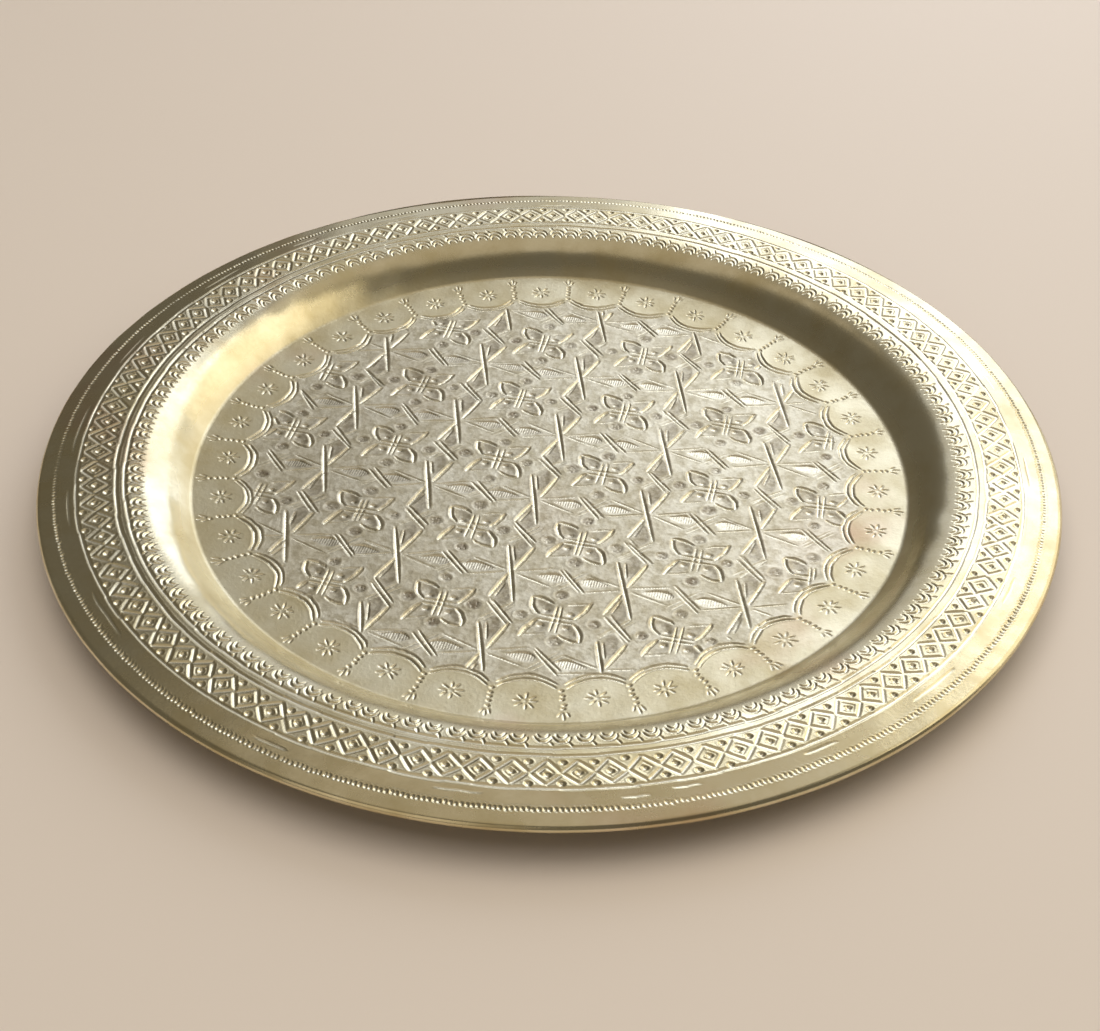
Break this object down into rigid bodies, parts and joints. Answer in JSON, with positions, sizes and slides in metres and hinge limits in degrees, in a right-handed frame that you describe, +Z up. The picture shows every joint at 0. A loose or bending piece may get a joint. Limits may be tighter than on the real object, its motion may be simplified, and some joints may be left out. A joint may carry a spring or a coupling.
{
  "type": "chased brass tray",
  "caption": "Round brass serving tray with a shallow well, a broad rim and a wired edge, chased with stars, flowers, rosettes and bands of lozenges and arches.",
  "frame": {"origin": "centre of the flat underside of the floor, which is the face that the tray rests on", "axes": "+Z up, out of the well; the rows of the chased lattice run along X and its columns along Y"},
  "size_m": [0.3999, 0.4, 0.0173],
  "materials": {
    "chased_brass": "aged brass, hand chased, worn satin with a matted ground and a smoother well wall",
    "edge_wire": "drawn mild steel wire, dull, hidden inside the rolled edge"
  },
  "bodies": {
    "root": {"tray_sheet": "chased_brass", "rim_wire": "edge_wire"}
  },
  "joints": []
}
